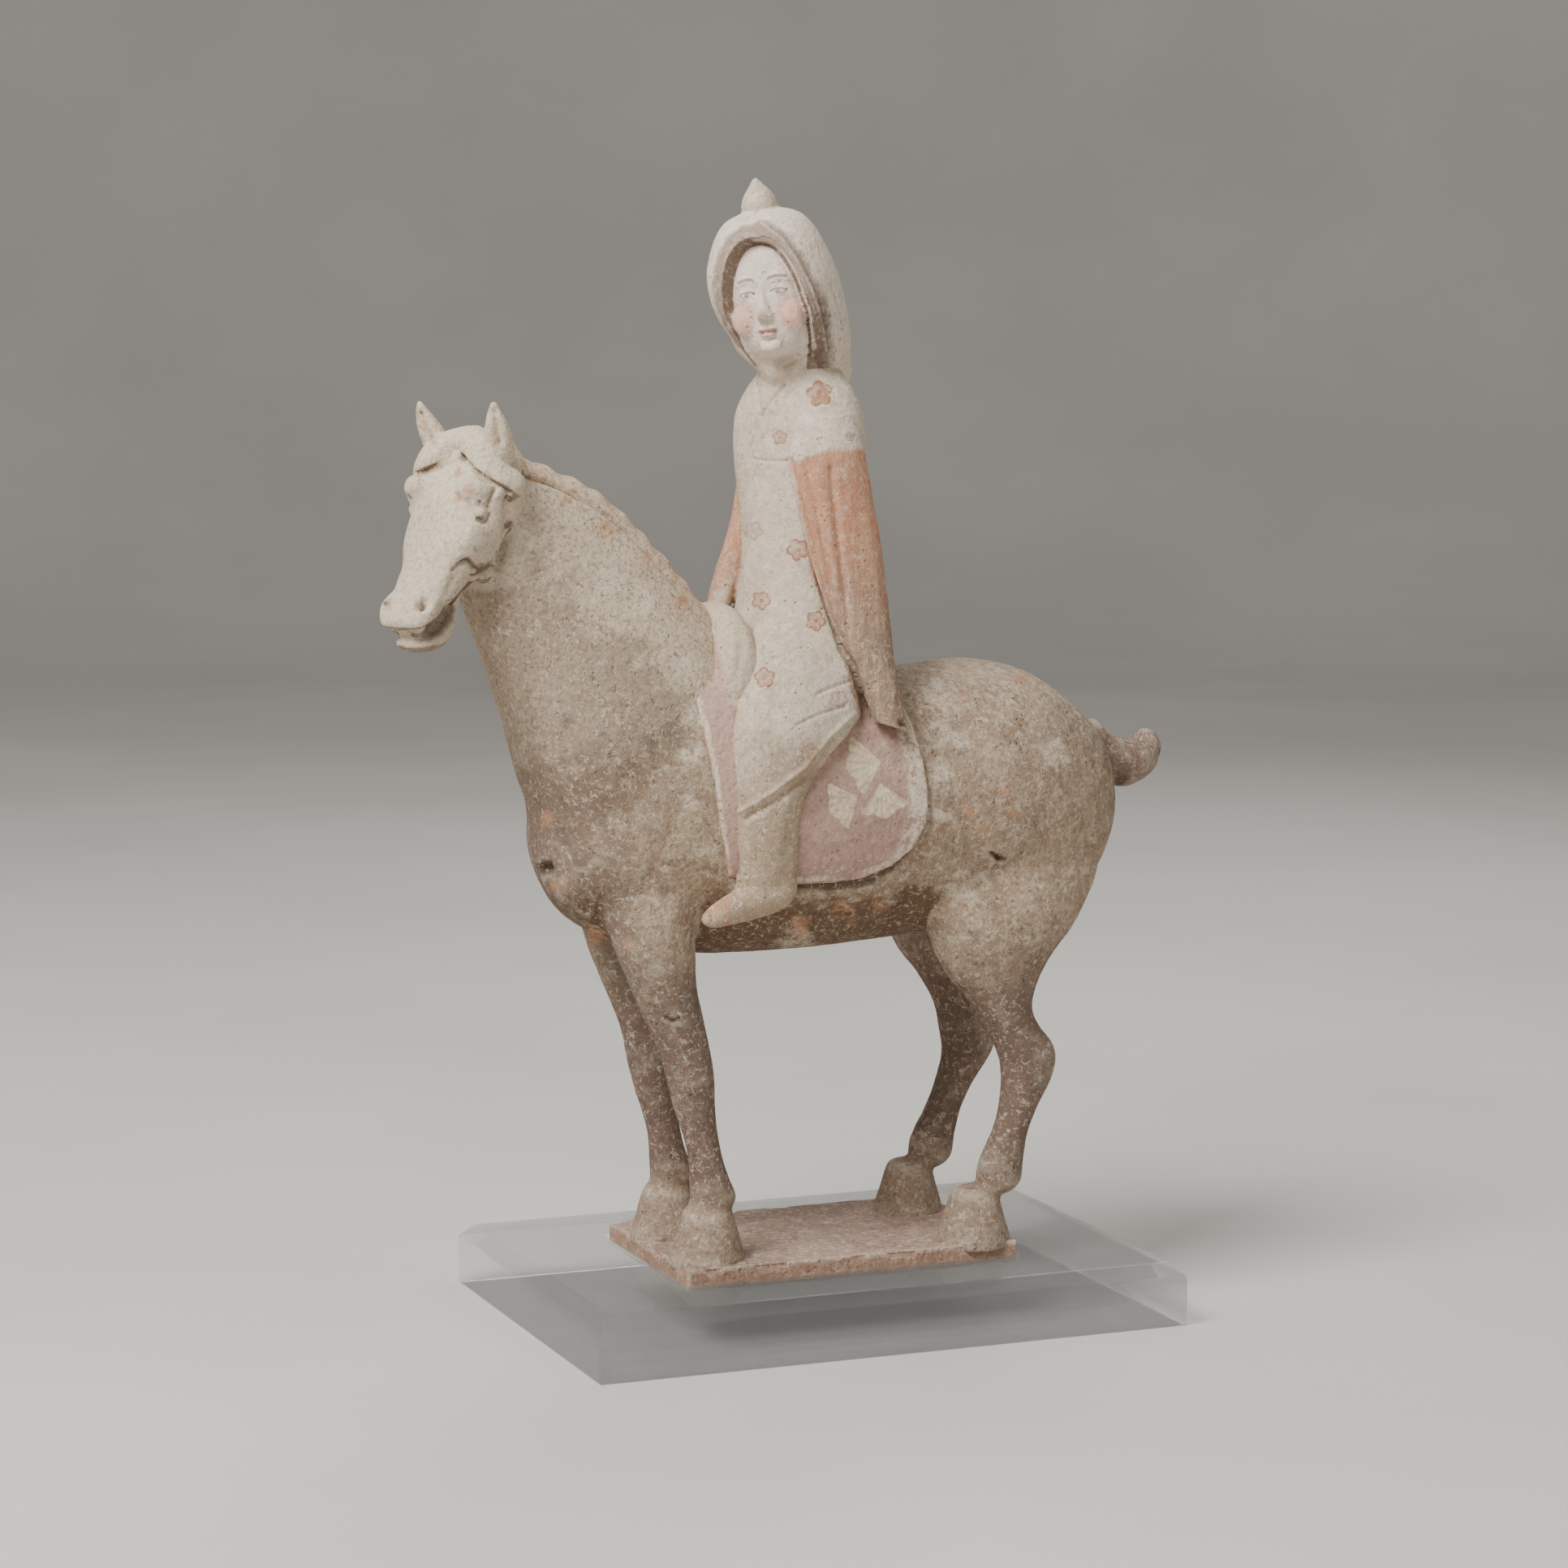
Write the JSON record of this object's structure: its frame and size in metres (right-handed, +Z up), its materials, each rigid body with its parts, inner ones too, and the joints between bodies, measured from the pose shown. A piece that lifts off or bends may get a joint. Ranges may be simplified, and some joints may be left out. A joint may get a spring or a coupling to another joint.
{
  "type": "pottery horse and rider figure",
  "caption": "Painted pottery figure of a standing saddled horse with a hooded rider, fixed on a thin pottery plate that sits in the shallow pocket of a clear bevelled stand.",
  "frame": {"origin": "centre of the stand's underside", "axes": "+Z up; the horse faces -X and its left flank faces -Y"},
  "size_m": [0.3373, 0.178, 0.4514],
  "materials": {
    "fired_clay": "matte fired clay with worn slip and pigment",
    "clear_acrylic": "clear polished"
  },
  "bodies": {
    "root": {"horse_and_rider": "fired_clay", "clear_stand": "clear_acrylic"}
  },
  "joints": []
}
